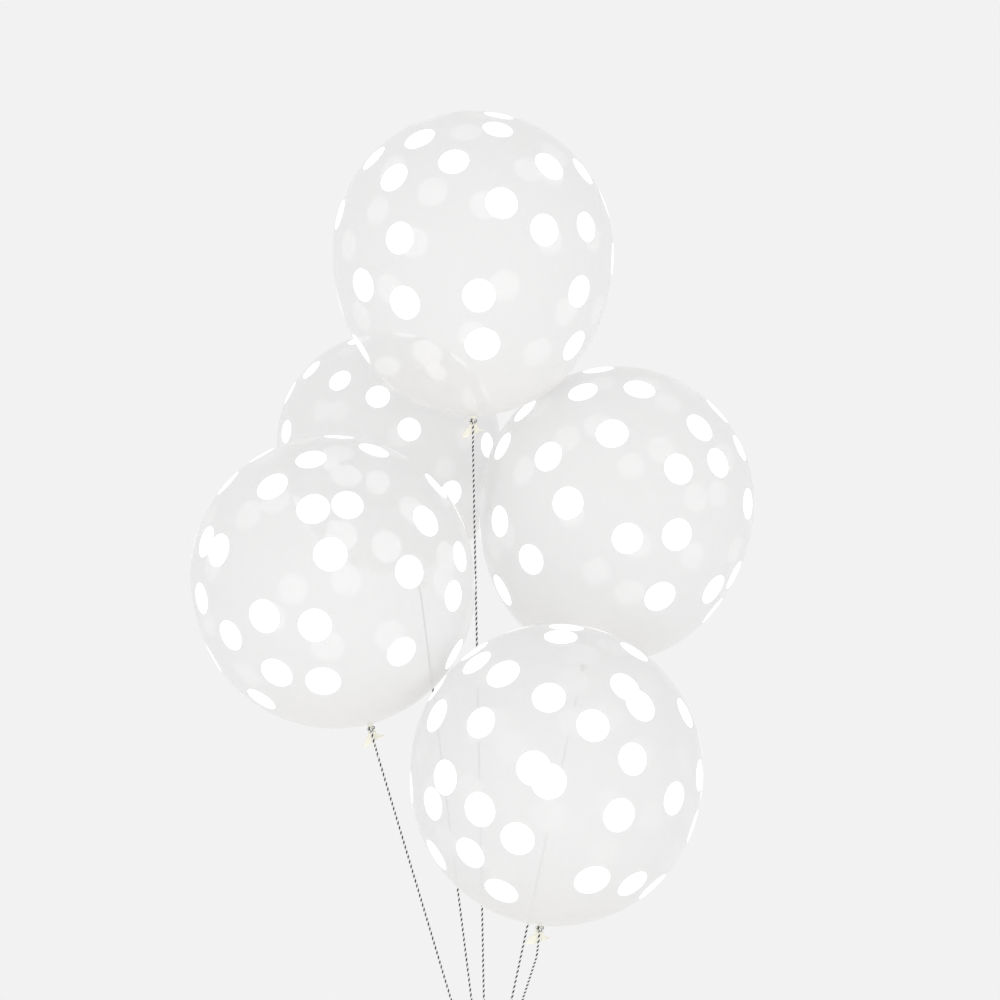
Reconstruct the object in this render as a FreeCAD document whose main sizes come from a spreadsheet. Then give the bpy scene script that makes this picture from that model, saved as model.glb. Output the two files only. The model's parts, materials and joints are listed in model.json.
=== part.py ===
import FreeCAD, Part
import math
import os

import Sketcher

# A bunch of five clear party balloons.  Each balloon is a film envelope on a tied neck, with a flattened
# tail that ends in a rolled lip.  A twine hitch grips the neck, and its leader runs past the tail to the
# balloon's string.  The five strings come down to one gather knot, with a hand loop and cut ends below it.
# The origin is the centre of the gather knot and +Z is up.  Lengths are millimetres, angles are degrees.

Vec = FreeCAD.Vector
UP = Vec(0, 0, 1)

# Every balloon: radius at its widest, the depth of its lower half over that radius, the string's length, the
# string's lean from upright and the compass heading it leans to, then the same for the balloon's own axis.
BALLOONS = {
    "top": (140.0, 1.165, 659.0, 1.2, 200.5, 0.0, 0.0),
    "rear": (118.5, 1.165, 525.5, 16.9, 116.0, 16.0, 139.5),
    "left": (138.0, 1.073, 376.2, 18.3, 209.1, 14.3, 187.9),
    "right": (140.0, 1.165, 426.0, 14.0, 28.0, 12.8, 21.0),
    "front": (139.0, 1.06, 216.7, 37.6, 291.3, 6.7, 333.5),
}
PLACE_WORDS = ("radius", "length_ratio", "string", "lean", "heading", "tilt", "tilt_heading")

SIZES = {
    # the film
    "film_wall": 0.4,
    "flank_ratio": 1.357,  # radius of the flank's arc over the balloon's radius
    "pole_height": 5.2,  # the film's lowest point, above the hitch's middle
    "collar_radius": 2.4,
    "collar_fillet": 1.8,
    "collar_foot": 3.1,
    # the tied neck
    "nod_gap": 1.4,  # from the collar's foot down to the stem, room for the neck to bend
    "stem_radius": 2.0,
    "knot_middle": 4.1,  # below the hitch's middle, as are the other depths on the neck
    "knot_foot": 6.2,
    "lump_radius": 3.2,
    "knot_half_width": 4.0,
    "roll_radius": 1.3,
    "roll_tilt": 15.0,
    # the tail and its rolled lip, both flattened
    "tail_top_half_length": 2.3,
    "tail_top_half_width": 1.8,
    "lip_depth": 12.6,
    "lip_half_length": 11.0,
    "lip_half_width": 3.6,
    "lip_radius": 1.0,
    "tail_wall": 0.7,
    "tail_bite": 0.5,  # how far the tail's edge is rolled into the lip
    # the twine
    "twine_radius": 1.0,
    "wrap_gap": 0.05,
    "wrap_rise": 0.9,  # each wrap's middle from the hitch's, so that the two bed into each other
    "leader_gap": 0.4,  # past the knot
    "lip_gap": 1.7,  # from the lip to the corner that the leader rounds
    "leader_foot": 23.5,
    "swivel_depth": 28.0,
    "string_gap": 0.8,
    # the gather knot, its loop and its cut ends
    "gather_radius": 5.0,
    "gather_roll": 1.9,
    "gather_roll_bed": 0.9,  # how far each roll's middle lies inside the core
    "exit_ring": 2.6,
    "exit_gap": 2.0,  # from the core up to where the strings leave
    "loop_radius": 9.0,
    "loop_drop": 22.0,
    "loop_mouth": 1.6,
    "loop_bite": 0.8,  # how deep the loop's legs start in the core, and the cut ends the same
    "cut_end_length": 17.0,
    "cut_end_lean": 34.0,
    "cut_end_bite": 2.0,
}
CUT_END_HEADINGS = (62.0, 118.0, 238.0, 304.0)

doc = FreeCAD.newDocument("balloon_bunch")
sheet = doc.addObject("Spreadsheet::Sheet", "sizes")
values = dict(SIZES)
for place, numbers in BALLOONS.items():
    values.update({f"{place}_{word}": number for word, number in zip(PLACE_WORDS, numbers)})
for row, (name, number) in enumerate(values.items(), start=1):
    sheet.set(f"A{row}", name)
    sheet.set(f"B{row}", str(number))
    sheet.setAlias(f"B{row}", name)
doc.recompute()

parts = {}


def size(name):
    """The number in a named cell."""
    return float(sheet.get(name))


def bind(thing, formulas):
    """Tie each property to a formula of named cells, written with the cells' bare names in braces."""
    for prop, formula in formulas.items():
        thing.setExpression(prop, formula.replace("{", "sizes.").replace("}", ""))


def add(kind, name, formulas=None, **props):
    """One document object with plain properties and bound ones."""
    thing = doc.addObject(kind, name)
    for prop, value in props.items():
        setattr(thing, prop, value)
    bind(thing, formulas or {})
    return thing


def keep(node, thing, placement=None):
    """Name a finished piece and put it in its place."""
    thing.Label = node
    if placement is not None:
        thing.Placement = placement
    parts[node] = thing
    return thing


def direction(lean, heading):
    """The unit vector that leans from upright towards a compass heading."""
    lean, heading = math.radians(lean), math.radians(heading)
    flat = math.sin(lean)
    return Vec(flat * math.cos(heading), flat * math.sin(heading), math.cos(lean))


def standing(point, axis):
    """A placement at a point, with the piece's own +Z turned onto an axis."""
    return FreeCAD.Placement(point, FreeCAD.Rotation(UP, axis))


def string_line(place):
    """Where a string leaves the gather knot, and the way it runs."""
    heading = math.radians(size(f"{place}_heading"))
    ring = 0.0 if place == "top" else size("exit_ring")
    height = size("gather_radius") + size("exit_gap")
    foot = Vec(ring * math.cos(heading), ring * math.sin(heading), height)
    return foot, direction(size(f"{place}_lean"), size(f"{place}_heading"))


def neck_frame(place):
    """The placement of a balloon's own frame: its hitch's middle, with +Z up the balloon's axis."""
    foot, way = string_line(place)
    axis = direction(size(f"{place}_tilt"), size(f"{place}_tilt_heading"))
    swivel = foot + way * size(f"{place}_string")
    return standing(swivel + axis * size("swivel_depth"), axis)


def origin_plane(body, role):
    return next(item for item in body.Origin.OriginFeatures if item.Role == role)


def flat_sketch(body, name, role, height=None):
    """A sketch on one of the body's origin planes, raised by a formula if one is given."""
    sketch = body.newObject("Sketcher::SketchObject", name)
    sketch.AttachmentSupport = [(origin_plane(body, role), "")]
    sketch.MapMode = "FlatFace"
    if height:
        bind(sketch, {"AttachmentOffset.Base.z": height})
    return sketch


def arc_between(middle, radius, start, end):
    """A counter-clockwise arc of a circle, from one point to another, in a sketch's plane."""
    circle = Part.Circle(Vec(middle[0], middle[1], 0), Vec(0, 0, 1), radius)
    angles = [math.atan2(p[1] - middle[1], p[0] - middle[0]) for p in (start, end)]
    return Part.ArcOfCircle(circle, angles[0], angles[1])


def straight(start, end):
    return Part.LineSegment(Vec(start[0], start[1], 0), Vec(end[0], end[1], 0))


def name_constraint(sketch, constraint, name, formula):
    """Add a dimension, name it and tie it to its formula."""
    index = sketch.addConstraint(constraint)
    sketch.renameConstraint(index, name)
    bind(sketch, {f"Constraints.{name}": formula})


START, END, MIDDLE = 1, 2, 3
V_AXIS, H_AXIS, ORIGIN = -2, -1, 1


def balloon_arcs(place, inset):
    """The film's round outline in its own plane: the three arcs' middles, radii and meeting points."""
    radius = size(f"{place}_radius")
    depth = radius * size(f"{place}_length_ratio")
    flank = radius * size("flank_ratio")
    cap = (2 * flank * radius - radius**2 - depth**2) / (2 * (flank - depth))
    centre = size("pole_height") + depth
    flank_middle = (radius - flank, centre)
    cap_middle = (0.0, centre - depth + cap)
    run = math.hypot(flank_middle[0], cap_middle[1] - centre)
    side = (-flank_middle[0] / run, (cap_middle[1] - centre) / run)
    reach = flank - inset
    meet = (flank_middle[0] + reach * side[0], centre + reach * side[1])
    return {
        "crown": ((0.0, centre), radius - inset, (radius - inset, centre), (0.0, centre + radius - inset)),
        "flank": (flank_middle, reach, meet, (radius - inset, centre)),
        "cap": (cap_middle, cap - inset, (0.0, cap_middle[1] - cap + inset), meet),
    }


def outline_sketch(body, name, place, inset):
    """The film's outline for turning: crown, flank and cap arcs, and for the outside the neck's collar.

    The three arcs run into each other tangentially.  Inset is the name of the wall for the inner outline,
    or None for the outer one, whose cap ends in a fillet and a straight collar.
    """
    arcs = balloon_arcs(place, size(inset) if inset else 0.0)
    sketch = flat_sketch(body, name, "XZ_Plane")
    crown, flank, cap = [arc_between(*arcs[word]) for word in ("crown", "flank", "cap")]
    top = (0.0, arcs["crown"][3][1])
    wide = f"{{{place}_radius}}"
    less = f" - {{{inset}}}" if inset else ""
    flank_size = f"{wide} * {{flank_ratio}}"
    depth_size = f"{wide} * {{{place}_length_ratio}}"
    cap_size = (
        f"(2 * {flank_size} * {wide} - {wide}^2 - ({depth_size})^2) / (2 * ({flank_size} - {depth_size}))"
    )
    middle, cap_radius = arcs["cap"][:2]
    if inset is None:
        bend, neck = size("collar_fillet"), size("collar_radius")
        foot = size("collar_foot")
        rise = math.sqrt((cap_radius + bend) ** 2 - (neck + bend) ** 2)
        bend_middle = (neck + bend, middle[1] - rise)
        share = cap_radius / (cap_radius + bend)
        touch = (bend_middle[0] * share, middle[1] - rise * share)
        cap = arc_between(middle, cap_radius, touch, arcs["flank"][2])
        turn = arc_between(bend_middle, bend, touch, (neck, bend_middle[1]))
        lines = [
            straight((neck, bend_middle[1]), (neck, foot)),
            straight((neck, foot), (0.0, foot)),
            straight((0.0, foot), top),
        ]
        sketch.addGeometry([crown, flank, cap, turn] + lines, False)
        sketch.addConstraint(
            [
                Sketcher.Constraint("Tangent", 2, START, 3, START),
                Sketcher.Constraint("Tangent", 3, END, 4, START),
                Sketcher.Constraint("Coincident", 4, END, 5, START),
                Sketcher.Constraint("Coincident", 5, END, 6, START),
                Sketcher.Constraint("Vertical", 4),
                Sketcher.Constraint("Horizontal", 5),
                Sketcher.Constraint("PointOnObject", 6, START, V_AXIS),
                Sketcher.Constraint("Coincident", 6, END, 0, END),
            ]
        )
        name_constraint(sketch, Sketcher.Constraint("Radius", 3, bend), "collar_bend", "{collar_fillet}")
        for way, number, name in (("DistanceX", neck, "collar_radius"), ("DistanceY", foot, "collar_foot")):
            constraint = Sketcher.Constraint(way, H_AXIS, ORIGIN, 4, END, number)
            name_constraint(sketch, constraint, name, f"{{{name}}}")
    else:
        sketch.addGeometry([crown, flank, cap, straight(arcs["cap"][2], top)], False)
        sketch.addConstraint(
            [
                Sketcher.Constraint("Coincident", 3, START, 2, START),
                Sketcher.Constraint("PointOnObject", 2, START, V_AXIS),
                Sketcher.Constraint("Coincident", 3, END, 0, END),
            ]
        )
    sketch.addConstraint(
        [
            Sketcher.Constraint("Tangent", 0, START, 1, END),
            Sketcher.Constraint("Tangent", 1, START, 2, END),
            Sketcher.Constraint("PointOnObject", 0, MIDDLE, V_AXIS),
            Sketcher.Constraint("PointOnObject", 0, END, V_AXIS),
            Sketcher.Constraint("PointOnObject", 2, MIDDLE, V_AXIS),
            Sketcher.Constraint("Horizontal", 0, MIDDLE, 0, START),
        ]
    )
    height = arcs["crown"][0][1]
    name_constraint(
        sketch,
        Sketcher.Constraint("DistanceY", H_AXIS, ORIGIN, 0, MIDDLE, height),
        "centre",
        "{pole_height} + " + depth_size,
    )
    for index, word, formula in ((0, "crown", wide), (1, "flank", flank_size), (2, "cap", cap_size)):
        radius_here = arcs[word][1]
        name_constraint(sketch, Sketcher.Constraint("Radius", index, radius_here), word, formula + less)
    return sketch


def make_envelope(place):
    """The film: a thin shell turned about the balloon's axis, round above and longer below."""
    body = doc.addObject("PartDesign::Body", f"{place}_envelope")
    outside = outline_sketch(body, f"{place}_outside", place, None)
    skin = body.newObject("PartDesign::Revolution", f"{place}_skin")
    skin.Profile = outside
    skin.ReferenceAxis = (outside, ["V_Axis"])
    skin.Angle = 360
    doc.recompute()
    inside = outline_sketch(body, f"{place}_inside", place, "film_wall")
    hollow = body.newObject("PartDesign::Groove", f"{place}_hollow")
    hollow.Profile = inside
    hollow.ReferenceAxis = (inside, ["V_Axis"])
    hollow.Angle = 360
    body.Tip = hollow
    return keep(f"{place}_envelope", body, neck_frame(place))


def make_neck_knot(place):
    """The tied neck: a stem inside the hitch, and the knot's lump with the roll that crosses it.

    The knot is cut flat where the tail comes out of it.
    """
    stem = add(
        "Part::Cylinder",
        f"{place}_stem",
        {
            "Radius": "{stem_radius}",
            "Height": "{collar_foot} - {nod_gap} + {knot_foot}",
            "Placement.Base.z": "-{knot_foot}",
        },
    )
    lump = add(
        "Part::Sphere", f"{place}_lump", {"Radius": "{lump_radius}", "Placement.Base.z": "-{knot_middle}"}
    )
    roll = add(
        "Part::Torus",
        f"{place}_roll",
        {"Radius1": "{knot_half_width} - {roll_radius}", "Radius2": "{roll_radius}"},
        Placement=FreeCAD.Placement(
            Vec(0, 0, -size("knot_middle")), FreeCAD.Rotation(Vec(1, 0, 0), size("roll_tilt"))
        ),
    )
    whole = add("Part::MultiFuse", f"{place}_knot_whole", Shapes=[stem, lump, roll])
    below = add(
        "Part::Cylinder",
        f"{place}_below_knot",
        {
            "Radius": "2 * {knot_half_width}",
            "Height": "2 * {knot_foot}",
            "Placement.Base.z": "-3 * {knot_foot}",
        },
    )
    knot = add("Part::Cut", f"{place}_neck_knot", Base=whole, Tool=below)
    return keep(f"{place}_neck_knot", knot, neck_frame(place))


def slot_sketch(body, name, height, half_length, half_width):
    """A slot outline: two straight sides along X and two round ends."""
    long = abs(formula_value(half_length))
    wide = abs(formula_value(half_width))
    reach = long - wide
    sketch = flat_sketch(body, name, "XY_Plane", height)
    sketch.addGeometry(
        [
            straight((-reach, -wide), (reach, -wide)),
            arc_between((reach, 0.0), wide, (reach, -wide), (reach, wide)),
            straight((reach, wide), (-reach, wide)),
            arc_between((-reach, 0.0), wide, (-reach, wide), (-reach, -wide)),
        ],
        False,
    )
    sketch.addConstraint(
        [
            Sketcher.Constraint("Tangent", 0, END, 1, START),
            Sketcher.Constraint("Tangent", 1, END, 2, START),
            Sketcher.Constraint("Tangent", 2, END, 3, START),
            Sketcher.Constraint("Tangent", 3, END, 0, START),
            Sketcher.Constraint("Horizontal", 0),
            Sketcher.Constraint("Symmetric", 1, MIDDLE, 3, MIDDLE, H_AXIS, ORIGIN),
        ]
    )
    name_constraint(sketch, Sketcher.Constraint("Radius", 1, wide), "half_width", half_width)
    name_constraint(
        sketch,
        Sketcher.Constraint("DistanceX", H_AXIS, ORIGIN, 1, MIDDLE, reach),
        "reach",
        f"{half_length} - ({half_width})",
    )
    return sketch


def formula_value(formula):
    """Work out a formula of plain sums of named cells."""
    total = 0.0
    for term in formula.replace("- ", "+ -").split("+"):
        term = term.strip()
        sign = -1.0 if term.startswith("-") else 1.0
        word = term.strip("-{} ")
        scale = 1.0
        if word.endswith("/ 2"):
            word, scale = word[:-3].strip("{} "), 0.5
        total += sign * scale * size(word)
    return total


def make_tail(place):
    """The flattened tail below the knot: a thin funnel, open at the lip."""
    body = doc.addObject("PartDesign::Body", f"{place}_tail")
    top = "-{knot_foot}"
    foot = "-{lip_depth} + {lip_radius} - {tail_bite}"
    top_outer = slot_sketch(body, f"{place}_tail_top", top, "{tail_top_half_length}", "{tail_top_half_width}")
    foot_outer = slot_sketch(
        body,
        f"{place}_tail_foot",
        foot,
        "{lip_half_length} + {tail_wall} / 2",
        "{lip_half_width} + {tail_wall} / 2",
    )
    flare = body.newObject("PartDesign::AdditiveLoft", f"{place}_flare")
    flare.Profile = top_outer
    flare.Sections = [foot_outer]
    doc.recompute()
    top_inner = slot_sketch(
        body,
        f"{place}_bore_top",
        top + " - {tail_wall}",
        "{tail_top_half_length} - {tail_wall}",
        "{tail_top_half_width} - {tail_wall}",
    )
    foot_inner = slot_sketch(
        body,
        f"{place}_bore_foot",
        foot,
        "{lip_half_length} - {tail_wall} / 2",
        "{lip_half_width} - {tail_wall} / 2",
    )
    bore = body.newObject("PartDesign::SubtractiveLoft", f"{place}_bore")
    bore.Profile = top_inner
    bore.Sections = [foot_inner]
    body.Tip = bore
    return keep(f"{place}_tail", body, neck_frame(place))


def make_rolled_lip(place):
    """The rolled lip round the tail's mouth: two straight sides and two half rings."""
    reach = size("lip_half_length") - size("lip_half_width")
    down = -size("lip_depth")
    pieces = []
    for side, turn in ((1, -90), (-1, 90)):
        ring = add(
            "Part::Torus",
            f"{place}_lip_end",
            {"Radius1": "{lip_half_width}", "Radius2": "{lip_radius}"},
            Angle3=180,
            Placement=FreeCAD.Placement(Vec(side * reach, 0, down), FreeCAD.Rotation(UP, turn)),
        )
        rod = add(
            "Part::Cylinder",
            f"{place}_lip_side",
            {"Radius": "{lip_radius}", "Height": "2 * ({lip_half_length} - {lip_half_width})"},
            Placement=FreeCAD.Placement(
                Vec(-reach, side * size("lip_half_width"), down), FreeCAD.Rotation(UP, Vec(1, 0, 0))
            ),
        )
        pieces += [ring, rod]
    lip = add("Part::MultiFuse", f"{place}_rolled_lip", Shapes=pieces)
    return keep(f"{place}_rolled_lip", lip, neck_frame(place))


def twine_path(points):
    """Straight runs joined by tangent arcs, each arc as large as its two runs allow.

    Returns the wire and the arcs' radii.
    """
    edges, radii = [], []
    here = points[0]
    for before, corner, after in zip(points, points[1:], points[2:]):
        back, on = (before - corner), (after - corner)
        shorter = min(back.Length, on.Length)
        half_turn = (math.pi - back.getAngle(on)) / 2
        setback = 0.45 * shorter
        radius = setback / math.tan(half_turn)
        back, on = back.normalize(), on.normalize()
        start, end = corner + back * setback, corner + on * setback
        inward = (back + on).normalize()
        middle = corner + inward * (radius / math.cos(half_turn))
        edges.append(Part.LineSegment(here, start).toShape())
        edges.append(Part.Arc(start, middle - inward * radius, end).toShape())
        radii.append(radius)
        here = end
    edges.append(Part.LineSegment(here, points[-1]).toShape())
    return Part.Wire(edges), radii


def twine(name, points):
    """A plain tube of twine along a path, with its length and radii printed."""
    radius = size("twine_radius")
    path, radii = twine_path(points)
    ring = Part.Wire([Part.Circle(points[0], points[1] - points[0], radius).toShape()])
    tube = path.makePipeShell([ring], True, False)
    expected = math.pi * radius**2 * path.Length
    print(
        f"{name}: length {path.Length:.1f}, arcs {', '.join(f'{r:.1f}' for r in radii)},"
        f" volume over section times length {tube.Volume / expected:.4f}"
    )
    return tube


def make_hitch(place):
    """The hitch round the neck: two wraps of twine, and the leader that runs past the tail to the string."""
    radius = size("twine_radius")
    ring = size("stem_radius") + size("wrap_gap") + radius
    wraps = []
    for level in (1, -1):
        wrap = Part.makeTorus(ring, radius)
        wrap.translate(Vec(0, 0, level * size("wrap_rise")))
        wraps.append(wrap)
    beside_knot = size("knot_half_width") + radius + size("leader_gap")
    beside_lip = size("lip_half_width") + size("lip_radius") + radius + size("lip_gap")
    points = [
        Vec(0, -ring, -size("wrap_rise")),
        Vec(0, -beside_knot, -size("knot_middle")),
        Vec(0, -beside_lip, -size("lip_depth")),
        Vec(0, 0, -size("leader_foot")),
        Vec(0, 0, -size("swivel_depth") + size("string_gap")),
    ]
    leader = twine(f"{place}_hitch", points)
    hitch = doc.addObject("Part::Feature", f"{place}_hitch")
    hitch.Shape = leader.multiFuse(wraps)
    return keep(f"{place}_hitch", hitch, neck_frame(place))


def make_string(place):
    """The string: taut twine from the gather knot up to the leader."""
    foot, way = string_line(place)
    string = add(
        "Part::Cylinder",
        f"{place}_string",
        {"Radius": "{twine_radius}", "Height": f"{{{place}_string}} - 2 * {{string_gap}}"},
    )
    return keep(f"{place}_string", string, standing(foot + way * size("string_gap"), way))


def make_gather_knot():
    """The knot that ties the five strings together: a round lump with two rolls crossing over it."""
    core = add("Part::Sphere", "gather_core", {"Radius": "{gather_radius}"}, Angle1=-90)
    rolls = []
    for name, axis, turn in (("gather_roll_a", Vec(1, 0.3, 0), 58), ("gather_roll_b", Vec(-0.4, 1, 0), 63)):
        rolls.append(
            add(
                "Part::Torus",
                name,
                {"Radius1": "{gather_radius} - {gather_roll_bed}", "Radius2": "{gather_roll}"},
                Placement=FreeCAD.Placement(Vec(0, 0, 0), FreeCAD.Rotation(axis, turn)),
            )
        )
    knot = add("Part::MultiFuse", "gather_knot_solid", Shapes=[core] + rolls)
    return keep("gather_knot", knot, FreeCAD.Placement())


def make_hand_loop():
    """The hand loop: two straight legs from the gather knot, round one large arc."""
    radius, drop = size("loop_radius"), size("loop_drop")
    mouth, start = size("loop_mouth"), size("gather_radius") - size("loop_bite")
    across, along = mouth, drop - start
    reach = math.hypot(across, along)
    legs = []
    for side in (1, -1):
        # the leg touches the arc where the line from its start is tangent to it
        spread = math.acos(radius / reach) + math.atan2(across, along)
        touch = Vec(side * radius * math.sin(spread), 0, -drop + radius * math.cos(spread))
        legs.append((Vec(side * mouth, 0, -start), touch))
    edges = [
        Part.LineSegment(*legs[0]).toShape(),
        Part.Arc(legs[0][1], Vec(0, 0, -drop - radius), legs[1][1]).toShape(),
        Part.LineSegment(legs[1][1], legs[1][0]).toShape(),
    ]
    path = Part.Wire(edges)
    twine_radius = size("twine_radius")
    ring = Part.Wire([Part.Circle(legs[0][0], legs[0][1] - legs[0][0], twine_radius).toShape()])
    tube = path.makePipeShell([ring], True, False)
    expected = math.pi * twine_radius**2 * path.Length
    print(
        f"hand_loop: length {path.Length:.1f}, arc {radius:.1f},"
        f" volume over section times length {tube.Volume / expected:.4f}"
    )
    loop = doc.addObject("Part::Feature", "hand_loop")
    loop.Shape = tube.cut(parts["gather_knot"].Shape)
    return keep("hand_loop", loop, FreeCAD.Placement())


def make_cut_ends():
    """The four cut ends of twine that stand out of the gather knot's underside."""
    ends = []
    start = size("gather_radius") - size("cut_end_bite")
    for heading in CUT_END_HEADINGS:
        way = direction(180.0 - size("cut_end_lean"), heading)
        tube = Part.makeCylinder(size("twine_radius"), size("cut_end_length"), way * start, way)
        ends.append(tube.cut(parts["gather_knot"].Shape))
    group = doc.addObject("Part::Feature", "cut_ends")
    group.Shape = Part.makeCompound(ends)
    return keep("cut_ends", group, FreeCAD.Placement())


for place in BALLOONS:
    make_envelope(place)
    make_neck_knot(place)
    make_tail(place)
    make_rolled_lip(place)
    make_hitch(place)
    make_string(place)
make_gather_knot()
doc.recompute()
make_hand_loop()
make_cut_ends()
doc.recompute()

faults = [thing.Name for thing in doc.Objects if {"Invalid", "Error"} & set(thing.State)]
faults += [node for node, thing in parts.items() if thing.Shape.isNull() or not thing.Shape.isValid()]
if faults:
    raise RuntimeError("these objects did not build: " + ", ".join(faults))

os.makedirs("parts", exist_ok=True)
for node, thing in parts.items():
    thing.Shape.exportStep(f"parts/{node}.step")
    box = thing.Shape.BoundBox
    print(
        f"{node}: {len(thing.Shape.Solids)} solids, {thing.Shape.Volume:.1f} mm3,"
        f" z {box.ZMin:.1f} to {box.ZMax:.1f}"
    )
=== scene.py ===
import json
import math
import random

import bmesh
import bpy
from mathutils import Matrix, Quaternion, Vector


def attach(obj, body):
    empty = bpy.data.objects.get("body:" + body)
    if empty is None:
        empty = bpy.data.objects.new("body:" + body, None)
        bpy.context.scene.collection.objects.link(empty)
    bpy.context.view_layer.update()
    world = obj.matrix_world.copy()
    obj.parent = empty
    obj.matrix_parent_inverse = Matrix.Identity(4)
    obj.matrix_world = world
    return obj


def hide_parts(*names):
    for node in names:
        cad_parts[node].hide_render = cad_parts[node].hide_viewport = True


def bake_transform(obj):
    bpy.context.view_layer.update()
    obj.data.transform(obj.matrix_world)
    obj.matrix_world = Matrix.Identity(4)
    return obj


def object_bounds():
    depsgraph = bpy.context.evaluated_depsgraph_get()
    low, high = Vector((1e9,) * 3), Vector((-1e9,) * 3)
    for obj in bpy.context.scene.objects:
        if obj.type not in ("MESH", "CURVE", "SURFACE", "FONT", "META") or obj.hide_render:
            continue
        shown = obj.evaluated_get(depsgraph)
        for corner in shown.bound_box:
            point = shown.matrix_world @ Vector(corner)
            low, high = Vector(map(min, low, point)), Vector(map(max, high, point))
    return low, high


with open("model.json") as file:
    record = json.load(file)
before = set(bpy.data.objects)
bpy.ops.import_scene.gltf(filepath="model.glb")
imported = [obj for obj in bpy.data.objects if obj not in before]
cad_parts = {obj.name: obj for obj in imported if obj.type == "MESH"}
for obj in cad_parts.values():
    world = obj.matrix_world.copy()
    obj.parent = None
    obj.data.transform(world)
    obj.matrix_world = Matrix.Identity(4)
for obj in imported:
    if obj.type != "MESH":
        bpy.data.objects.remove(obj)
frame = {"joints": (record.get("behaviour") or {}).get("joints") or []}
cad_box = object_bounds()
bpy.ops.object.select_all(action="DESELECT")

UP = Vector((0, 0, 1))
PLACES = ("top", "rear", "left", "right", "front")

# Sizes in metres, as the solids have them.
RADIUS = {"top": 0.140, "rear": 0.1185, "left": 0.138, "right": 0.140, "front": 0.139}
LENGTH_RATIO = {"top": 1.165, "rear": 1.165, "left": 1.073, "right": 1.165, "front": 1.06}
FLANK_RATIO = 1.357
POLE_HEIGHT = 0.0052
COLLAR_RADIUS = 0.0024
COLLAR_FILLET = 0.0018
COLLAR_FOOT = 0.0031
SWIVEL_DEPTH = 0.028
TWINE = 0.002
LIP_DEPTH = 0.0126
# The height at which the top balloon's string leaves the gather knot.
TOP_FOOT = 0.007


# ---------------------------------------------------------------- camera and lights

CAMERA_DISTANCE = 2.8
SENSOR = 36


def look_at(thing, target):
    """Turn a camera or lamp so that it faces a point."""
    thing.rotation_euler = (target - thing.location).to_track_quat("-Z", "Y").to_euler()


def make_camera():
    """A long lens, level, a little above the middle of the bunch."""
    bpy.ops.object.camera_add(
        location=(0.014, -CAMERA_DISTANCE, 0.615), rotation=(math.radians(90), 0, 0)
    )
    camera = bpy.context.object
    camera.data.sensor_width = SENSOR
    # The picture is one metre wide at this distance.
    camera.data.lens = SENSOR * CAMERA_DISTANCE
    camera.data.clip_start = 0.05
    bpy.context.scene.camera = camera


make_camera()


# ---------------------------------------------------------------- shader maths

class Socket:
    """One output of a material's nodes, which Python's operators turn into Math nodes."""

    def __init__(self, finish, output):
        self.finish = finish
        self.output = output

    def math(self, operation, *inputs, clamp=False):
        settings = {"operation": operation, "use_clamp": clamp}
        return self.finish.node("ShaderNodeMath", settings, dict(enumerate(inputs)))

    def __add__(self, other):
        return self.math("ADD", self, other)

    def __sub__(self, other):
        return self.math("SUBTRACT", self, other)

    def __mul__(self, other):
        return self.math("MULTIPLY", self, other)

    def __truediv__(self, other):
        return self.math("DIVIDE", self, other)

    def __pow__(self, other):
        return self.math("POWER", self, other)

    def __rsub__(self, other):
        return self.math("SUBTRACT", other, self)

    __radd__ = __add__
    __rmul__ = __mul__

    def clamped(self):
        return self.math("ADD", self, 0.0, clamp=True)


class Finish:
    """A material under construction, with its Principled shader."""

    def __init__(self, name, **plain):
        self.material = bpy.data.materials.new(name)
        self.material.use_nodes = True
        self.nodes = self.material.node_tree.nodes
        self.links = self.material.node_tree.links
        self.shader = next(n for n in self.nodes if n.type == "BSDF_PRINCIPLED")
        for name, value in plain.items():
            self.shader.inputs[name.replace("_", " ")].default_value = value

    def node(self, kind, settings=None, inputs=None, output=0):
        """Add a node with its settings, then its inputs' values or links, and give one output."""
        made = self.nodes.new(kind)
        for name, value in (settings or {}).items():
            setattr(made, name, value)
        for name, value in (inputs or {}).items():
            if isinstance(value, Socket):
                self.links.new(value.output, made.inputs[name])
            else:
                made.inputs[name].default_value = value
        return Socket(self, made.outputs[output])

    def feed(self, **inputs):
        """Link values to the shader's own sockets."""
        for name, value in inputs.items():
            self.links.new(value.output, self.shader.inputs[name.replace("_", " ")])

    def bump(self, height, distance, strength):
        inputs = {"Height": height, "Distance": distance, "Strength": strength}
        self.feed(Normal=self.node("ShaderNodeBump", None, inputs))

    def place(self):
        return self.node("ShaderNodeTexCoord", output=3)

    def stored(self, name):
        """A number that the mesh's points carry."""
        return self.node("ShaderNodeAttribute", {"attribute_name": name}, output=2)

    def noise(self, scale, detail=3.0, roughness=0.5, vector=None):
        inputs = {
            "Vector": vector or self.place(), "Scale": scale, "Detail": detail, "Roughness": roughness
        }
        return self.node("ShaderNodeTexNoise", None, inputs)

    def mix(self, share, first, second):
        """A colour between two, where the share goes from 0 to 1."""
        settings = {"data_type": "RGBA"}
        return self.node("ShaderNodeMix", settings, {0: share, 6: first, 7: second}, output=2)


# ---------------------------------------------------------------- finishes

# How dense each balloon's film looks face on.
DENSITY = {"top": 0.50, "rear": 0.50, "left": 0.51, "right": 0.50, "front": 0.63}


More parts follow.
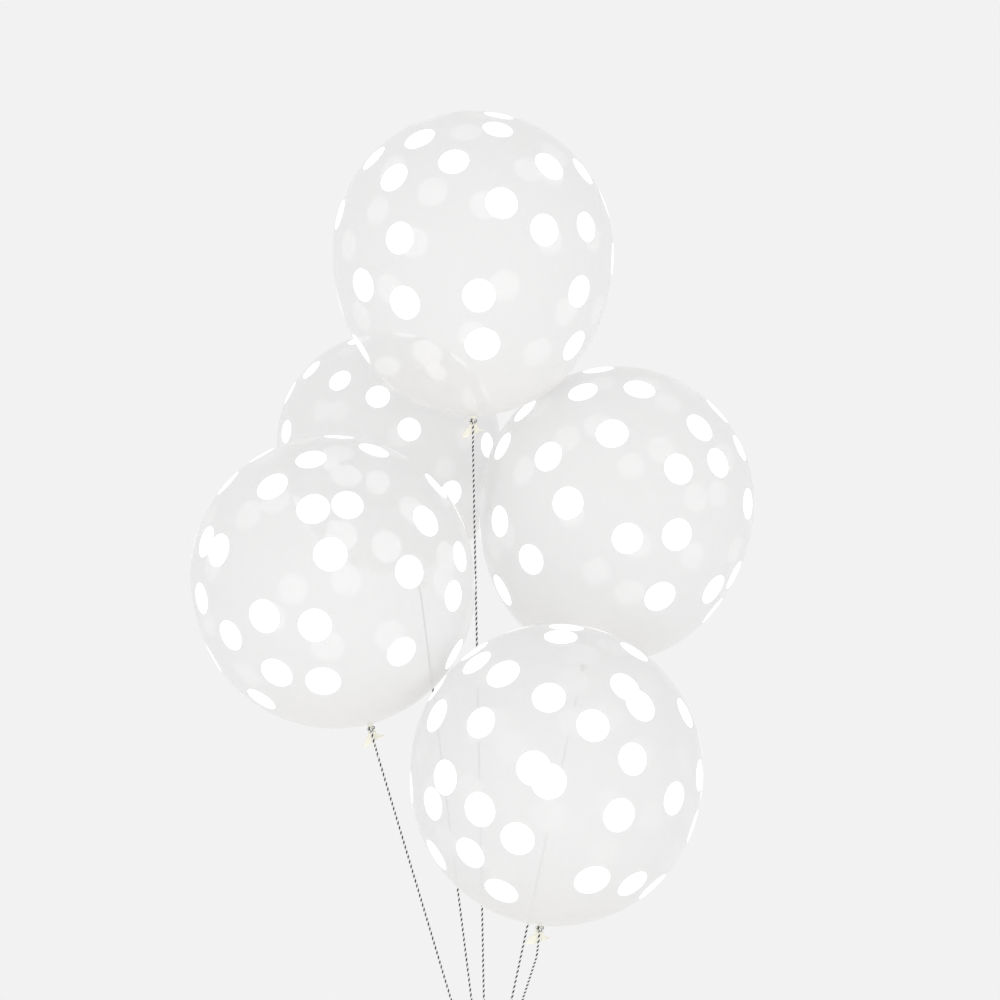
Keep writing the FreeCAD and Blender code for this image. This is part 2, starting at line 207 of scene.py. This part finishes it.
def film_finish(place):
    """Clear latex under air: milky, glossy, denser towards the neck and in a spot at the crown."""
    film = Finish(f"film_{place}", Roughness=0.3, Coat_Weight=0.06, Coat_Roughness=0.12)
    film.shader.inputs["IOR"].default_value = 1.17
    # Painted light: a faint white glow over the whole film, which stands in for even light from all round.
    film.shader.inputs["Emission Color"].default_value = (1, 1, 1, 1)
    film.shader.inputs["Emission Strength"].default_value = 0.10
    rise = film.stored("rise")
    cloud = film.noise(9.0, 4.0, 0.6)
    streak = film.noise(30.0, 2.0, 0.5)
    neck = ((0.3 - rise) / 0.3).clamped() ** 2
    crown = ((rise - 0.985) / 0.015).clamped()
    glance = film.node("ShaderNodeLayerWeight", None, {"Blend": 0.35}, output=1)
    density = DENSITY[place] + (cloud - 0.5) * 0.10 + (streak - 0.5) * 0.03 + neck * 0.12 + crown * 0.15
    film.feed(Alpha=(density + glance ** 3 * 0.40).clamped())
    cream = (neck * 0.8 + crown * 0.5 + (cloud - 0.5) * 0.4).clamped()
    pale = (0.775, 0.77, 0.77, 1)
    creamy = (0.775, 0.765, 0.735, 1)
    film.feed(Base_Color=film.mix(cream, pale, creamy))
    film.bump(cloud, 0.0004, 0.25)
    return film.material


def ink_finish():
    """Opaque white print, with a grain too fine to see from afar."""
    ink = Finish("dot_ink", Roughness=0.5)
    ink.shader.inputs["Specular IOR Level"].default_value = 0.25
    # Painted light: a white glow on the ink, which keeps the dots bright at the balloons' rims and lights
    # the dots on the far walls from behind, in place of light shining through them.
    ink.shader.inputs["Emission Color"].default_value = (1, 1, 1, 1)
    ink.shader.inputs["Emission Strength"].default_value = 0.42
    grain = ink.noise(900.0, 2.0, 0.6)
    patch = ink.noise(60.0, 2.0, 0.5)
    share = (patch * 0.5 + grain * 0.4).clamped()
    ink.feed(Base_Color=ink.mix(share, (0.84, 0.84, 0.84, 1), (0.78, 0.78, 0.78, 1)))
    ink.bump(grain, 0.00004, 0.3)
    return ink.material


def tied_latex_finish():
    """Unstretched latex: cream, with fine creases that run down it, and a painted glow that stands in for
    light shining through the thin latex.
    """
    latex = Finish("tied_latex", Roughness=0.38, Coat_Weight=0.15, Coat_Roughness=0.3)
    # Painted light: a cream glow, which stands in for light shining through the thin latex.
    latex.shader.inputs["Emission Color"].default_value = (1.0, 0.97, 0.82, 1)
    latex.shader.inputs["Emission Strength"].default_value = 0.09
    tone = latex.noise(160.0, 3.0, 0.6)
    crease = latex.noise(700.0, 3.0, 0.55)
    latex.feed(Base_Color=latex.mix(tone, (0.86, 0.84, 0.72, 1), (0.90, 0.89, 0.80, 1)))
    latex.feed(Roughness=(0.3 + crease * 0.2).clamped())
    latex.bump(crease, 0.00018, 0.5)
    return latex.material


def ply_finish(name, dark, light):
    """Spun cotton: fine fibres that lie across the ply, and a soft sheen."""
    cotton = Finish(name, Roughness=0.85)
    cotton.shader.inputs["Sheen Weight"].default_value = 0.3
    cotton.shader.inputs["Sheen Roughness"].default_value = 0.5
    fibre = cotton.noise(4200.0, 3.0, 0.7)
    cotton.feed(Base_Color=cotton.mix(fibre, dark, light))
    cotton.bump(fibre, 0.0001, 0.6)
    return cotton.material


INK = ink_finish()
TIED_LATEX = tied_latex_finish()
WHITE_PLY = ply_finish("twine_white", (0.86, 0.86, 0.84, 1), (0.97, 0.97, 0.95, 1))
BLACK_PLY = ply_finish("twine_black", (0.008, 0.008, 0.010, 1), (0.045, 0.045, 0.05, 1))


# ---------------------------------------------------------------- making and placing

def spin_joint(place):
    return next(j for j in frame["joints"] if j["name"] == f"{place}_spin")


def neck_frame(place):
    """A balloon's own frame: its hitch's middle, with +Z up the balloon's axis."""
    joint = spin_joint(place)
    axis = Vector(joint["axis"]).normalized()
    middle = Vector(joint["pos_m"]) + axis * SWIVEL_DEPTH
    return Matrix.Translation(middle) @ UP.rotation_difference(axis).to_matrix().to_4x4()


def finish_piece(piece, name, body, slot, *materials, replaces=()):
    """Name a piece, give it its finishes and let it ride."""
    piece.name = name
    piece.data.name = name
    for material in materials:
        piece.data.materials.append(material)
    if body:
        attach(piece, body)
    if replaces:
        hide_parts(*replaces)
    piece.select_set(False)
    return piece


def mesh_piece(name, points, faces):
    """A new object from points and faces."""
    mesh = bpy.data.meshes.new(name)
    mesh.from_pydata([tuple(p) for p in points], [], faces)
    mesh.update()
    piece = bpy.data.objects.new(name, mesh)
    bpy.context.scene.collection.objects.link(piece)
    return piece


def drawn_ring(sides, levels, name, open_ends=False):
    """A ring drawn through levels, each a half length, a half width and a height, from its cap."""
    half_length, half_width, height = levels[0]
    bpy.ops.mesh.primitive_circle_add(vertices=sides, radius=1, fill_type="NGON", location=(0, 0, 0))
    piece = bpy.context.object
    piece.name = name
    bpy.ops.object.mode_set(mode="EDIT")
    bpy.ops.mesh.select_all(action="SELECT")
    bpy.ops.transform.resize(value=(half_length, half_width, 1))
    bpy.ops.transform.translate(value=(0, 0, height))
    for next_length, next_width, next_height in levels[1:]:
        step = (0, 0, next_height - height)
        bpy.ops.mesh.extrude_region_move(TRANSFORM_OT_translate={"value": step})
        bpy.ops.transform.resize(value=(next_length / half_length, next_width / half_width, 1))
        half_length, half_width, height = next_length, next_width, next_height
    if open_ends:
        bpy.ops.mesh.delete(type="ONLY_FACE")
    bpy.ops.object.mode_set(mode="OBJECT")
    piece.select_set(False)
    return piece


def copy_of(master, name):
    """A copy with its own mesh."""
    piece = master.copy()
    piece.data = master.data.copy()
    piece.name = name
    bpy.context.scene.collection.objects.link(piece)
    piece.select_set(False)
    return piece


def apply_modifier(piece, kind, **settings):
    """Finish a piece with one modifier, and apply it."""
    bpy.ops.object.select_all(action="DESELECT")
    bpy.context.view_layer.objects.active = piece
    piece.select_set(True)
    made = piece.modifiers.new(kind.lower(), kind)
    for name, value in settings.items():
        setattr(made, name, value)
    bpy.ops.object.modifier_apply(modifier=made.name)
    piece.select_set(False)


# ---------------------------------------------------------------- twine

PITCH = 0.0051
PLIES = 4
PLY_RADIUS = 0.00046
PLY_RING = 0.00056
STEP = 0.0005
PLY_SIDES = 6
FRAY_LENGTH = 0.006
# Knots are drawn with points a little closer together.
KNOT_STEP = 0.0004
KNOT_RISE = 0.0006


def route_line(name, points, step=STEP):
    """A smooth line on a route's points: its NURBS spline, read back as evenly spaced points."""
    curve = bpy.data.curves.new(name, "CURVE")
    curve.dimensions = "3D"
    spline = curve.splines.new("NURBS")
    spline.points.add(len(points) - 1)
    for control, point in zip(spline.points, points):
        control.co = (*point, 1)
    spline.order_u = 3
    spline.use_endpoint_u = True
    spline.resolution_u = 60
    holder = bpy.data.objects.new(name, curve)
    mesh = bpy.data.meshes.new_from_object(holder)
    line = [v.co.copy() for v in mesh.vertices]
    bpy.data.objects.remove(holder)
    bpy.data.curves.remove(curve)
    bpy.data.meshes.remove(mesh)
    return even_line(line, step)


def even_line(line, step):
    """The same line with its points evenly spaced."""
    spans = [(b - a).length for a, b in zip(line, line[1:])]
    count = max(4, round(sum(spans) / step))
    gap = sum(spans) / count
    out, index, gone = [line[0].copy()], 0, 0.0
    for n in range(1, count):
        while gone + spans[index] < n * gap:
            gone += spans[index]
            index += 1
        out.append(line[index].lerp(line[index + 1], (n * gap - gone) / spans[index]))
    out.append(line[-1].copy())
    return out


def line_length(line):
    return sum((b - a).length for a, b in zip(line, line[1:]))


def line_frames(line):
    """Two sideways directions at each point, carried along without twisting."""
    ways = []
    for index in range(len(line)):
        ways.append((line[min(index + 1, len(line) - 1)] - line[max(index - 1, 0)]).normalized())
    side = ways[0].orthogonal().normalized()
    frames = [(side, ways[0].cross(side))]
    for before, way in zip(ways, ways[1:]):
        side = before.rotation_difference(way) @ side
        side = (side - way * side.dot(way)).normalized()
        frames.append((side, way.cross(side)))
    return frames


def strand_mesh(lines):
    """Round strands laid along lines: points, faces and each face's strand number."""
    points, faces, owner = [], [], []
    for number, line in enumerate(lines):
        start = len(points)
        frames = line_frames(line)
        for middle, (side, other) in zip(line, frames):
            for k in range(PLY_SIDES):
                angle = 2 * math.pi * k / PLY_SIDES
                points.append(middle + (side * math.cos(angle) + other * math.sin(angle)) * PLY_RADIUS)
        for index in range(len(line) - 1):
            for k in range(PLY_SIDES):
                a = start + index * PLY_SIDES + k
                b = start + index * PLY_SIDES + (k + 1) % PLY_SIDES
                faces.append((a, b, b + PLY_SIDES, a + PLY_SIDES))
                owner.append(number)
        last = start + (len(line) - 1) * PLY_SIDES
        faces.append(tuple(start + k for k in reversed(range(PLY_SIDES))))
        faces.append(tuple(last + k for k in range(PLY_SIDES)))
        owner += [number, number]
    return points, faces, owner


def laid_twine(line, turn=0.0, fray=0.0):
    """Four plies twisted round a line.  Fray spreads them over the last part of it."""
    frames = line_frames(line)
    lines = []
    total = line_length(line)
    for ply in range(PLIES):
        strand, gone = [], 0.0
        for index, (middle, (side, other)) in enumerate(zip(line, frames)):
            if index:
                gone += (middle - line[index - 1]).length
            angle = turn + 2 * math.pi * (gone / PITCH + ply / PLIES)
            ring = PLY_RING
            if fray:
                ring += fray * max(0.0, (gone - total + FRAY_LENGTH) / FRAY_LENGTH) ** 2
            strand.append(middle + (side * math.cos(angle) + other * math.sin(angle)) * ring)
        lines.append(strand)
    return lines


def twine_piece(name, lines):
    """One mesh of plies: in each four, two are black and two are white."""
    points, faces, owner = strand_mesh(lines)
    piece = mesh_piece(name, points, faces)
    piece.data.polygons.foreach_set("material_index", [n % PLIES // 2 for n in owner])
    piece.data.polygons.foreach_set("use_smooth", [True] * len(faces))
    piece.data.update()
    return piece


def string_foot(place):
    """The point where a string leaves the gather knot."""
    if place == "top":
        return Vector((0, 0, TOP_FOOT))
    return Vector(next(j for j in frame["joints"] if j["name"] == f"{place}_sway")["pos_m"])


def twine_finish(piece, name, body, replaced):
    """Finish a piece of twine, which stands in for one solid."""
    finish_piece(piece, name, body, "twine", WHITE_PLY, BLACK_PLY, replaces=[replaced])


def make_string(place):
    """A taut string, from where it leaves the gather knot up to its balloon's leader."""
    foot = string_foot(place)
    swivel = Vector(spin_joint(place)["pos_m"])
    way = (swivel - foot).normalized()
    route = [foot, foot + way * 6 * TWINE, swivel - way * 6 * TWINE, swivel]
    line = route_line(f"{place}_route", route)
    string = twine_piece(f"{place}_twine", laid_twine(line))
    body = "bunch" if place == "top" else f"{place}_string"
    twine_finish(string, f"{place}_twine", body, f"{place}_string")


for place in PLACES:
    make_string(place)


def make_hand_loop():
    """The loop of twine under the gather knot, round a finger's width."""
    mouth, start, drop = 0.0016, 0.0042, 0.022
    shoulder, shoulder_drop = 0.0072, 0.0125
    # A NURBS line passes inside its points, so they stand 9% outside a radius of 9 mm.
    swung = 0.009 * 1.09
    route = [Vector((mouth, 0, -start)), Vector((shoulder, 0, -shoulder_drop))]
    for degrees in (20, -15, -50, -90, -130, -165, -200):
        angle = math.radians(degrees)
        route.append(Vector((swung * math.cos(angle), 0, -drop + swung * math.sin(angle))))
    route.append(Vector((-shoulder, 0, -shoulder_drop)))
    route.append(Vector((-mouth, 0, -start)))
    line = route_line("loop_route", route)
    loop = twine_piece("hand_loop_twine", laid_twine(line))
    twine_finish(loop, "hand_loop_twine", "bunch", "hand_loop")


make_hand_loop()


def ring_line(middle, axis, radius, turns, rise, step):
    """A line of turns round an axis, rising along it."""
    side = axis.orthogonal().normalized()
    other = axis.cross(side)
    count = max(8, round(abs(turns) * 2 * math.pi * radius / step))
    line = []
    for n in range(count + 1):
        share = n / count
        angle = share * turns * 2 * math.pi
        outward = side * math.cos(angle) + other * math.sin(angle)
        line.append(middle + outward * radius + axis * rise * (share - 0.5))
    return line


def make_gather_knot():
    """The knot itself: turns of twine over a lump, and short ends of the strings on top of it."""
    lines = []
    # The way that each turn tilts, how far in degrees, and its radius.
    turns = (
        (Vector((1, 0.3, 0)), 58, 0.0039),
        (Vector((-0.4, 1, 0)), 63, 0.0041),
        (Vector((0.2, 0.5, 0)), 12, 0.0040),
        (Vector((-0.6, -0.4, 0)), 30, 0.0036),
        (Vector((0.9, -0.8, 0)), -42, 0.0037),
        (Vector((0.3, 1.0, 0)), -78, 0.0034),
    )
    for tilt, degrees, radius in turns:
        axis = Quaternion(tilt.normalized(), math.radians(degrees)) @ UP
        lines += laid_twine(ring_line(Vector((0, 0, 0)), axis, radius, 1.0, KNOT_RISE, KNOT_STEP))
    for place in PLACES:
        foot = string_foot(place)
        way = (Vector(spin_joint(place)["pos_m"]) - foot).normalized()
        inside = Vector((foot.x * 0.5, foot.y * 0.5, 0.0005))
        below = Vector((foot.x, foot.y, 0.0045))
        route = [inside, below, foot, foot + way * 0.0004]
        lines += laid_twine(route_line("stub_route", route, KNOT_STEP))
    knot = twine_piece("gather_knot_twine", lines)
    twine_finish(knot, "gather_knot_twine", "bunch", "gather_knot")


make_gather_knot()


# How far the cut ends lean from straight down, and where each one points, in degrees.
END_LEAN = 34
END_HEADINGS = (62, 118, 238, 304)


def make_cut_ends():
    """The strings' cut ends, each with its plies coming apart at the tip."""
    lines = []
    lean = math.radians(180 - END_LEAN)
    droop = Vector((0, 0, -0.0012))
    for heading in END_HEADINGS:
        angle = math.radians(heading)
        way = Vector((math.sin(lean) * math.cos(angle), math.sin(lean) * math.sin(angle), math.cos(lean)))
        route = [way * 0.003, way * 0.009, way * 0.015 - droop * 0.3, way * 0.0188 + droop * 0.2]
        lines += laid_twine(route_line("end_route", route), fray=0.0006)
    ends = twine_piece("cut_ends_twine", lines)
    twine_finish(ends, "cut_ends_twine", "bunch", "cut_ends")


make_cut_ends()


# ---------------------------------------------------------------- the balloons

def arc_points(middle, radius, start, stop, steps):
    """Points along an arc after its start, as pairs of radius and height."""
    angles = [start + (stop - start) * (n + 1) / steps for n in range(steps)]
    return [(middle[0] + radius * math.cos(a), middle[1] + radius * math.sin(a)) for a in angles]


def film_outline(place):
    """The film's outline from the crown's pole down to the collar, as pairs of radius and height."""
    radius = RADIUS[place]
    depth, flank = radius * LENGTH_RATIO[place], radius * FLANK_RATIO
    cap = (2 * flank * radius - radius ** 2 - depth ** 2) / (2 * (flank - depth))
    centre = POLE_HEIGHT + depth
    cap_height = POLE_HEIGHT + cap
    meet = math.atan2(cap_height - centre, flank - radius)
    rise = math.sqrt((cap + COLLAR_FILLET) ** 2 - (COLLAR_RADIUS + COLLAR_FILLET) ** 2)
    bend = (COLLAR_RADIUS + COLLAR_FILLET, cap_height - rise)
    turned = math.atan2(rise, bend[0])
    outline = [(0.0, centre + radius)]
    outline += arc_points((0, centre), radius, math.pi / 2, 0, 30)
    outline += arc_points((radius - flank, centre), flank, 0, meet, 24)
    outline += arc_points((0, cap_height), cap, meet, -turned, 30)
    outline += arc_points(bend, COLLAR_FILLET, math.pi - turned, math.pi, 6)
    outline.append((COLLAR_RADIUS, COLLAR_FOOT))
    return outline


def make_film(place, material):
    """The envelope: its outline drawn point by point, then spun round the balloon's axis."""
    outline = film_outline(place)
    mesh = bpy.data.meshes.new(f"{place}_film")
    film = bpy.data.objects.new(f"{place}_film", mesh)
    bpy.context.scene.collection.objects.link(film)
    mesh.from_pydata([(r, 0, z) for r, z in outline], [(n, n + 1) for n in range(len(outline) - 1)], [])
    bpy.context.view_layer.objects.active = film
    film.select_set(True)
    bpy.ops.object.mode_set(mode="EDIT")
    bpy.ops.mesh.select_all(action="SELECT")
    bpy.ops.mesh.spin(steps=96, angle=2 * math.pi, center=(0, 0, 0), axis=(0, 0, 1))
    bpy.ops.mesh.select_all(action="SELECT")
    bpy.ops.mesh.remove_doubles(threshold=0.00002)
    bpy.ops.mesh.normals_make_consistent(inside=False)
    bpy.ops.object.mode_set(mode="OBJECT")
    bpy.ops.object.shade_smooth()
    heights = [v.co.z for v in mesh.vertices]
    top = max(heights)
    rise = mesh.attributes.new("rise", "FLOAT", "POINT")
    rise.data.foreach_set("value", [z / top for z in heights])
    mesh.transform(neck_frame(place))
    return finish_piece(
        film, f"{place}_film", f"{place}_balloon", "film", material, replaces=[f"{place}_envelope"]
    )


def film_point(place, ray, lift):
    """The point just off the film where a ray from its widest ring's middle meets it."""
    radius = RADIUS[place]
    depth, flank = radius * LENGTH_RATIO[place], radius * FLANK_RATIO
    cap = (2 * flank * radius - radius ** 2 - depth ** 2) / (2 * (flank - depth))
    meet = math.atan2(cap - depth, flank - radius)
    corner = math.atan2(flank * math.sin(meet), radius - flank + flank * math.cos(meet))
    flat, high = math.hypot(ray.x, ray.y), ray.z
    across, up, size = 0.0, 0.0, radius
    if math.atan2(high, flat) < corner:
        up, size = cap - depth, cap
    elif high < 0:
        across, size = radius - flank, flank
    along = flat * across + high * up
    run = along + math.sqrt(along ** 2 - across ** 2 - up ** 2 + size ** 2)
    normal = Vector((flat * run - across, high * run - up)).normalized()
    turn = Matrix.Rotation(math.atan2(ray.y, ray.x), 3, "Z")
    here = Vector((flat * run + normal.x * lift, 0, high * run + normal.y * lift + POLE_HEIGHT + depth))
    return turn @ here


DOT_RINGS = 4
DOT_SIDES = 28
PRINT_LIFT = 0.00025
# For each print: how many dots, their radius, and the lowest latitude that they reach in degrees.
DOTS = {
    "top": (46, 0.0158, -45),
    "rear": (44, 0.0126, -45),
    "left": (52, 0.0158, -45),
    "right": (50, 0.0154, -45),
    "front": (64, 0.0160, -50),
}
SHAKE = 0.15


def dot_places(place):
    """Rays to a print's dots, and their swell: a golden spiral that the printer's hand has shaken up."""
    count, _, lowest = DOTS[place]
    rng = random.Random(PLACES.index(place) + 1)
    turn = rng.uniform(0, 2 * math.pi)
    floor = math.sin(math.radians(lowest))
    rays = []
    for n in range(count):
        latitude = math.asin(1 - (n + 0.5) * (1 - floor) / count)
        longitude = n * math.pi * (3 - math.sqrt(5)) + turn
        latitude += rng.uniform(-1, 1) * SHAKE
        longitude += rng.uniform(-1, 1) * SHAKE / max(0.25, math.cos(latitude))
        latitude = min(latitude, math.radians(88))
        level = math.cos(latitude)
        ray = Vector((level * math.cos(longitude), level * math.sin(longitude), math.sin(latitude)))
        rays.append((ray, rng.uniform(0.94, 1.05)))
    return rays


def make_dot_blank():
    """A flat round of print, one unit in radius and in rings, that each dot is laid from."""
    bpy.ops.mesh.primitive_circle_add(vertices=DOT_SIDES, radius=1, fill_type="NGON", location=(0, 0, 0))
    blank = bpy.context.object
    bpy.ops.object.mode_set(mode="EDIT")
    bpy.ops.mesh.select_all(action="SELECT")
    for _ in range(DOT_RINGS - 1):
        bpy.ops.mesh.inset(thickness=1 / DOT_RINGS)
    bpy.ops.mesh.poke()
    bpy.ops.object.mode_set(mode="OBJECT")
    blank.select_set(False)
    return blank


def make_dots(place, blank):
    """The printed dots, each a copy of the blank laid on the film."""
    points, faces = [], []
    for middle, swell in dot_places(place):
        side = middle.orthogonal().normalized()
        other = middle.cross(side)
        reach = DOTS[place][1] * swell / RADIUS[place]
        start = len(points)
        for spot in blank.data.vertices:
            share = spot.co.length
            outward = (side * spot.co.x + other * spot.co.y) / max(share, 1e-9)
            ray = middle * math.cos(reach * share) + outward * math.sin(reach * share)
            points.append(film_point(place, ray, PRINT_LIFT if share < 0.99 else PRINT_LIFT * 0.6))
        for face in blank.data.polygons:
            faces.append([start + index for index in face.vertices])
    dots = mesh_piece(f"{place}_dots", points, faces)
    dots.data.polygons.foreach_set("use_smooth", [True] * len(faces))
    dots.data.transform(neck_frame(place))
    return finish_piece(dots, f"{place}_dots", f"{place}_balloon", "dot_ink", INK)


# ---------------------------------------------------------------- the tied necks

PLEATS = 11
# How fast the pleats wind round the neck, in radians a metre.
PLEAT_TWIST = 250


def pleat(piece, depth, count=PLEATS):
    """Press small pleats into a piece that stands round the neck's axis."""
    for spot in piece.data.vertices:
        flat = Vector((spot.co.x, spot.co.y, 0))
        if flat.length > 0.0005:
            angle = math.atan2(flat.y, flat.x)
            spot.co += flat.normalized() * depth * math.sin(count * angle + PLEAT_TWIST * spot.co.z)


def make_tail_master():
    """The flattened tail: a round neck drawn out into a wide flat mouth, with a thin wall."""
    levels = []
    for step in range(11):
        share = step / 10
        height = -0.0056 - (LIP_DEPTH - 0.0010 - 0.0056) * share
        levels.append((0.0023 + 0.0082 * share ** 0.8, 0.0018 + 0.0016 * share, height))
    tail = drawn_ring(48, levels, "tail_master", open_ends=True)
    pleat(tail, 0.00016)
    apply_modifier(tail, "SOLIDIFY", thickness=0.0006, offset=-1)
    return tail


def make_lip_master():
    """The rolled lip: a cord of latex round the tail's mouth."""
    bpy.ops.mesh.primitive_circle_add(vertices=64, radius=1, fill_type="NOTHING", location=(0, 0, 0))
    lip = bpy.context.object
    bpy.ops.object.mode_set(mode="EDIT")
    bpy.ops.mesh.select_all(action="SELECT")
    bpy.ops.transform.resize(value=(0.0102, 0.0031, 1))
    bpy.ops.transform.translate(value=(0, 0, 0.0005 - LIP_DEPTH))
    bpy.ops.object.mode_set(mode="OBJECT")
    bpy.ops.object.convert(target="CURVE")
    lip.data.bevel_depth = 0.00098
    lip.data.bevel_resolution = 4
    bpy.ops.object.convert(target="MESH")
    lip.name = "lip_master"
    lip.select_set(False)
    return lip


def make_knot_master():
    """The knot: a short stem, a lump, and the roll of latex that crosses over it."""
    levels = [
        (radius, radius, height)
        for radius, height in (
            (0.0018, 0.0017), (0.0018, 0.0006), (0.0018, -0.0008), (0.0021, -0.0021), (0.0027, -0.0030),
            (0.0032, -0.0041), (0.0031, -0.0050), (0.0026, -0.0058), (0.0018, -0.0062),
        )
    ]
    knot = drawn_ring(40, levels, "knot_master")
    pleat(knot, 0.00018, 9)
    bpy.ops.mesh.primitive_torus_add(
        major_radius=0.0027, minor_radius=0.0012, major_segments=40, minor_segments=14, location=(0, 0, 0)
    )
    roll = bpy.context.object
    bpy.ops.object.mode_set(mode="EDIT")
    bpy.ops.mesh.select_all(action="SELECT")
    bpy.ops.transform.resize(value=(1.06, 0.97, 1.1))
    bpy.ops.object.mode_set(mode="OBJECT")
    roll.data.transform(Matrix.Translation((0, 0, -0.0041)) @ Matrix.Rotation(math.radians(15), 4, "X"))
    knot.select_set(True)
    bpy.context.view_layer.objects.active = knot
    bpy.ops.object.join()
    knot.select_set(False)
    return knot


def make_pleats_master():
    """The gathered neck from the hitch up to where it spreads into the film."""
    levels = [
        (radius, radius, height)
        for radius, height in (
            (0.0022, 0.0004), (0.0022, 0.0014), (0.0024, 0.0022), (0.0027, 0.0030),
            (0.0029, 0.0037), (0.0034, 0.0044), (0.0045, 0.0050),
        )
    ]
    pleats = drawn_ring(44, levels, "pleats_master", open_ends=True)
    pleat(pleats, 0.00015)
    return pleats


def crumple(piece, seed, hang):
    """Let one lobe of a tail hang lower than the other, and wave its mouth a little."""
    rng = random.Random(seed)
    first, second = rng.uniform(0, 2 * math.pi), rng.uniform(0, 2 * math.pi)
    for spot in piece.data.vertices:
        x, y, z = spot.co
        share = max(0.0, (-z - 0.0062) / (LIP_DEPTH - 0.0062)) ** 1.4
        angle = math.atan2(y / 0.34, x)
        wave = math.sin(2 * angle + first) * 0.6 + math.sin(3 * angle + second) * 0.4
        spot.co.z += share * (hang * x / 0.0105 + wave * 0.0009)
        spot.co.y += share * 0.0006 * math.sin(260 * x + first)


def tidy_normals(piece):
    """Turn a closed piece's faces outwards and smooth it."""
    shape = bmesh.new()
    shape.from_mesh(piece.data)
    bmesh.ops.recalc_face_normals(shape, faces=shape.faces)
    for face in shape.faces:
        face.smooth = True
    shape.to_mesh(piece.data)
    shape.free()


# How much lower a tail's left lobe hangs than its middle.
LOBE_HANG = {"top": 0.0034, "rear": -0.0020, "left": 0.0030, "right": 0.0016, "front": 0.0038}


def make_tied_neck(place, seed, masters):
    """One balloon's tied neck: knot, tail and lip, and the pleats round its neck."""
    knot, tail, lip, pleats = (copy_of(masters[name], f"{place}_{name}") for name in masters)
    for piece in (tail, lip):
        crumple(piece, seed, LOBE_HANG[place])
    here = neck_frame(place)
    for piece, name, node in (
        (knot, "knot_latex", "neck_knot"), (tail, "tail_latex", "tail"), (lip, "lip_latex", "rolled_lip")
    ):
        tidy_normals(piece)
        piece.data.transform(here)
        finish_piece(
            piece, f"{place}_{name}", f"{place}_neck", "tied_latex", TIED_LATEX, replaces=[f"{place}_{node}"]
        )
    pleats.data.polygons.foreach_set("use_smooth", [True] * len(pleats.data.polygons))
    pleats.data.transform(here)
    finish_piece(pleats, f"{place}_neck_pleats", None, "tied_latex", TIED_LATEX)
    here @ Vector((0, 0, 0.0016))
    here @ Vector((0, 0, 0.0046))
    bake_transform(pleats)


def make_hitch(place):
    """The string's turns round the neck, and its leader past the tail to the swivel."""
    rise, ring = 0.0009, 0.00305
    lines = []
    turns = ring_line(Vector((0, 0, 0)), UP, ring, 2.0, 2 * rise, KNOT_STEP)
    lines += laid_twine(turns)
    route = [
        Vector((0, -ring, -rise)),
        Vector((0, -0.0054, -0.0041)),
        Vector((0, -0.0073, -LIP_DEPTH)),
        Vector((0, 0, -0.0235)),
        Vector((0, 0, -SWIVEL_DEPTH)),
    ]
    lines += laid_twine(route_line("leader_route", route))
    # the half hitch that crosses over the turns
    over = [
        Vector((-0.0012, -0.0034, 0.0017)),
        Vector((-0.0006, -0.0046, 0.0007)),
        Vector((0.0006, -0.0046, -0.0008)),
        Vector((0.0014, -0.0034, -0.0018)),
    ]
    lines += laid_twine(route_line("hitch_route", over, KNOT_STEP))
    hitch = twine_piece(f"{place}_hitch_twine", lines)
    hitch.data.transform(neck_frame(place))
    twine_finish(hitch, f"{place}_hitch_twine", f"{place}_neck", f"{place}_hitch")


def make_balloons():
    """The five balloons, whose dots and tied necks are copies of the same masters."""
    blank = make_dot_blank()
    masters = {
        "knot": make_knot_master(),
        "tail": make_tail_master(),
        "lip": make_lip_master(),
        "pleats": make_pleats_master(),
    }
    for number, place in enumerate(PLACES):
        make_film(place, film_finish(place))
        make_dots(place, blank)
        make_tied_neck(place, 40 + number, masters)
        make_hitch(place)
    for master in (blank, *masters.values()):
        bpy.data.objects.remove(master)


make_balloons()


# ---------------------------------------------------------------- stage

def make_world():
    world = bpy.data.worlds.new("studio")
    bpy.context.scene.world = world
    world.use_nodes = True
    sky = world.node_tree.nodes["Background"]
    sky.inputs["Color"].default_value = (0.888, 0.888, 0.888, 1)
    sky.inputs["Strength"].default_value = 1.0


def soft_light(name, location, target, size, power):
    bpy.ops.object.light_add(type="AREA", location=location)
    lamp = bpy.context.object
    lamp.name = name
    lamp.data.shape = "DISK"
    lamp.data.size = size
    lamp.data.energy = power
    look_at(lamp, Vector(target))
    lamp.select_set(False)


FLOOR_RADIUS = 0.85
FLOOR_FADE = 0.6


def make_floor():
    """A round pale floor just under the bunch, faded out towards its rim."""
    bpy.ops.mesh.primitive_circle_add(
        vertices=96, radius=FLOOR_RADIUS, fill_type="NGON", location=(0, 0, 0)
    )
    floor = bpy.context.object
    floor.name = "floor"
    floor.data.transform(Matrix.Translation((0, 0, cad_box[0][2] - 0.004)))
    pale = Finish("floor", Roughness=0.9)
    pale.shader.inputs["Base Color"].default_value = (0.93, 0.93, 0.93, 1)
    reach = pale.node("ShaderNodeVectorMath", {"operation": "LENGTH"}, {0: pale.place()}, output=1)
    pale.feed(Alpha=((FLOOR_RADIUS - reach) / FLOOR_FADE).clamped())
    floor.data.materials.append(pale.material)
    floor.select_set(False)


make_world()
soft_light("front_left", (-1.9, -2.4, 0.8), (0, 0, 0.5), 2.2, 6)
soft_light("front_right", (2.0, -2.2, 0.4), (0, 0, 0.5), 2.2, 5.5)
soft_light("low_fill", (0.2, -2.3, -0.9), (0, 0, 0.5), 1.8, 9)
make_floor()

bpy.context.scene.view_settings.view_transform = "Standard"
